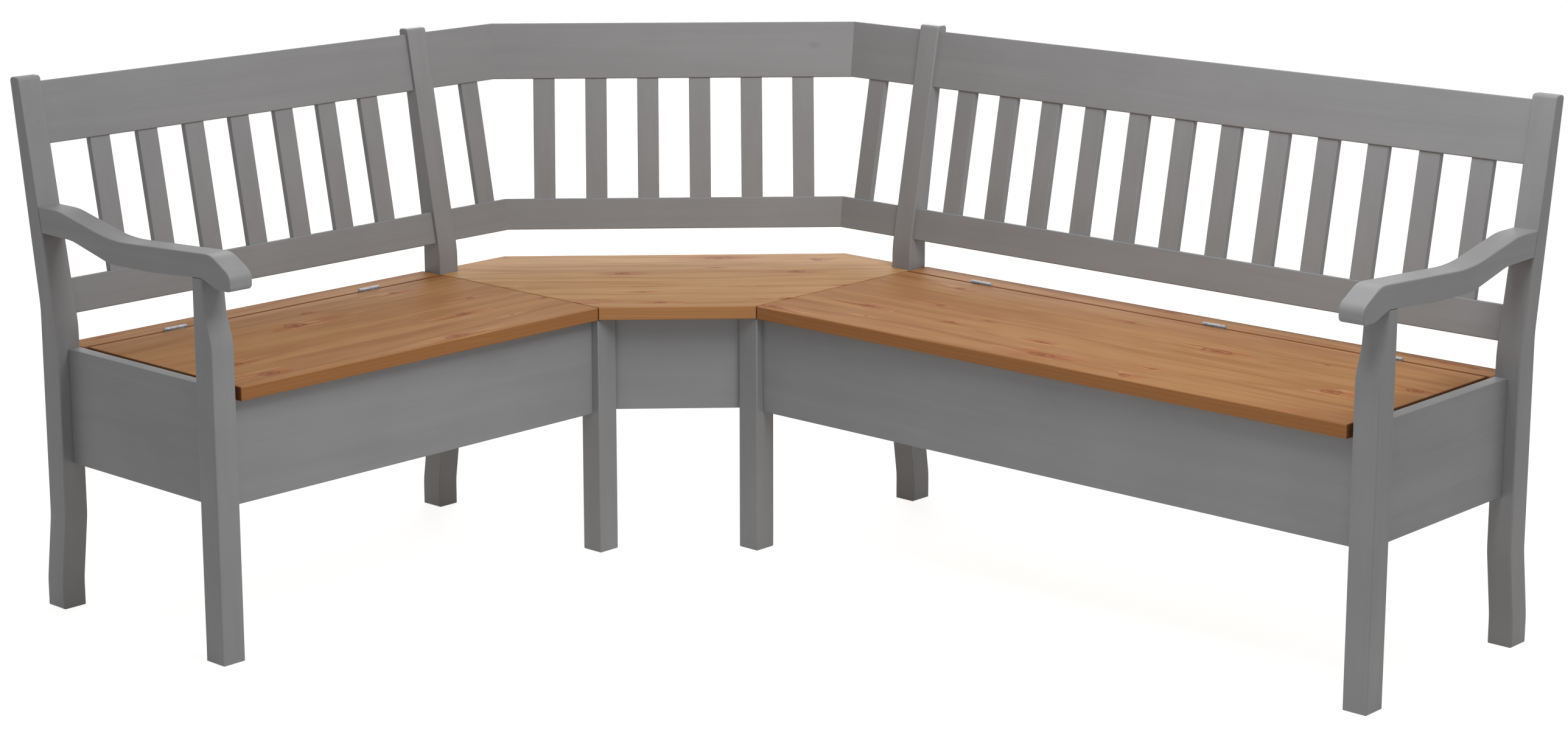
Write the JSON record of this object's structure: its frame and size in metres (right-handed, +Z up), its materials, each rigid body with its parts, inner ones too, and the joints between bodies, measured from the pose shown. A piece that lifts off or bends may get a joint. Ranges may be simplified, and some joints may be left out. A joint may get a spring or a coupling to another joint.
{
  "type": "corner storage bench",
  "caption": "L-shaped wooden corner bench with chests under hinged seat lids, a corner seat, slatted leaning backs and an S-curved arm at each end.",
  "frame": {"origin": "centre of the footprint's bounding box, on the floor under the feet", "axes": "+Z up; +X along the longer wing, away from the corner of the walls; the shorter wing runs along -Y, its back to the wall at -X"},
  "size_m": [2.025, 1.585, 0.918],
  "materials": {
    "grey_paint": "satin paint over wood",
    "stained_wood": "waxed antique pine stain",
    "steel": "zinc plated"
  },
  "bodies": {
    "frame": {"corner_centre_lower_rail": "grey_paint", "corner_centre_slats": "grey_paint", "corner_centre_top_rail": "grey_paint", "corner_front_apron": "grey_paint", "corner_long_side_lower_rail": "grey_paint", "corner_long_side_slat": "grey_paint", "corner_long_side_top_rail": "grey_paint", "corner_rear_bearer": "grey_paint", "corner_seat": "stained_wood", "corner_short_side_lower_rail": "grey_paint", "corner_short_side_slat": "grey_paint", "corner_short_side_top_rail": "grey_paint", "long_armrest": "grey_paint", "long_back_panel": "grey_paint", "long_back_slats": "grey_paint", "long_bottom_battens": "grey_paint", "long_bottom_board": "grey_paint", "long_front_apron": "grey_paint", "long_hinge_pins": "steel", "long_hinge_strip_leaves": "steel", "long_inner_front_leg": "grey_paint", "long_inner_panel": "grey_paint", "long_inner_rear_post": "grey_paint", "long_lid_ledges": "grey_paint", "long_lower_rail": "grey_paint", "long_outer_front_leg": "grey_paint", "long_outer_rear_post": "grey_paint", "long_rear_strip": "stained_wood", "long_seat_cleat": "grey_paint", "long_side_panel": "grey_paint", "long_top_rail": "grey_paint", "short_armrest": "grey_paint", "short_back_panel": "grey_paint", "short_back_slats": "grey_paint", "short_bottom_battens": "grey_paint", "short_bottom_board": "grey_paint", "short_front_apron": "grey_paint", "short_hinge_pins": "steel", "short_hinge_strip_leaves": "steel", "short_inner_front_leg": "grey_paint", "short_inner_panel": "grey_paint", "short_inner_rear_post": "grey_paint", "short_lid_ledges": "grey_paint", "short_lower_rail": "grey_paint", "short_outer_front_leg": "grey_paint", "short_outer_rear_post": "grey_paint", "short_rear_strip": "stained_wood", "short_seat_cleat": "grey_paint", "short_side_panel": "grey_paint", "short_top_rail": "grey_paint"},
    "long_lid": {"long_seat_lid": "stained_wood", "long_lid_battens": "stained_wood", "long_hinge_lid_leaves": "steel"},
    "short_lid": {"short_seat_lid": "stained_wood", "short_lid_battens": "stained_wood", "short_hinge_lid_leaves": "steel"}
  },
  "joints": [
    {"name": "long_lid_hinge", "type": "hinge", "parent": "frame", "child": "long_lid", "pos_m": [0.3393, 0.68, 0.4632], "axis": [-1, 0, 0], "range_deg": [0, 100]},
    {"name": "short_lid_hinge", "type": "hinge", "parent": "frame", "child": "short_lid", "pos_m": [-0.9, -0.3393, 0.4632], "axis": [0, -1, 0], "range_deg": [0, 100]}
  ]
}
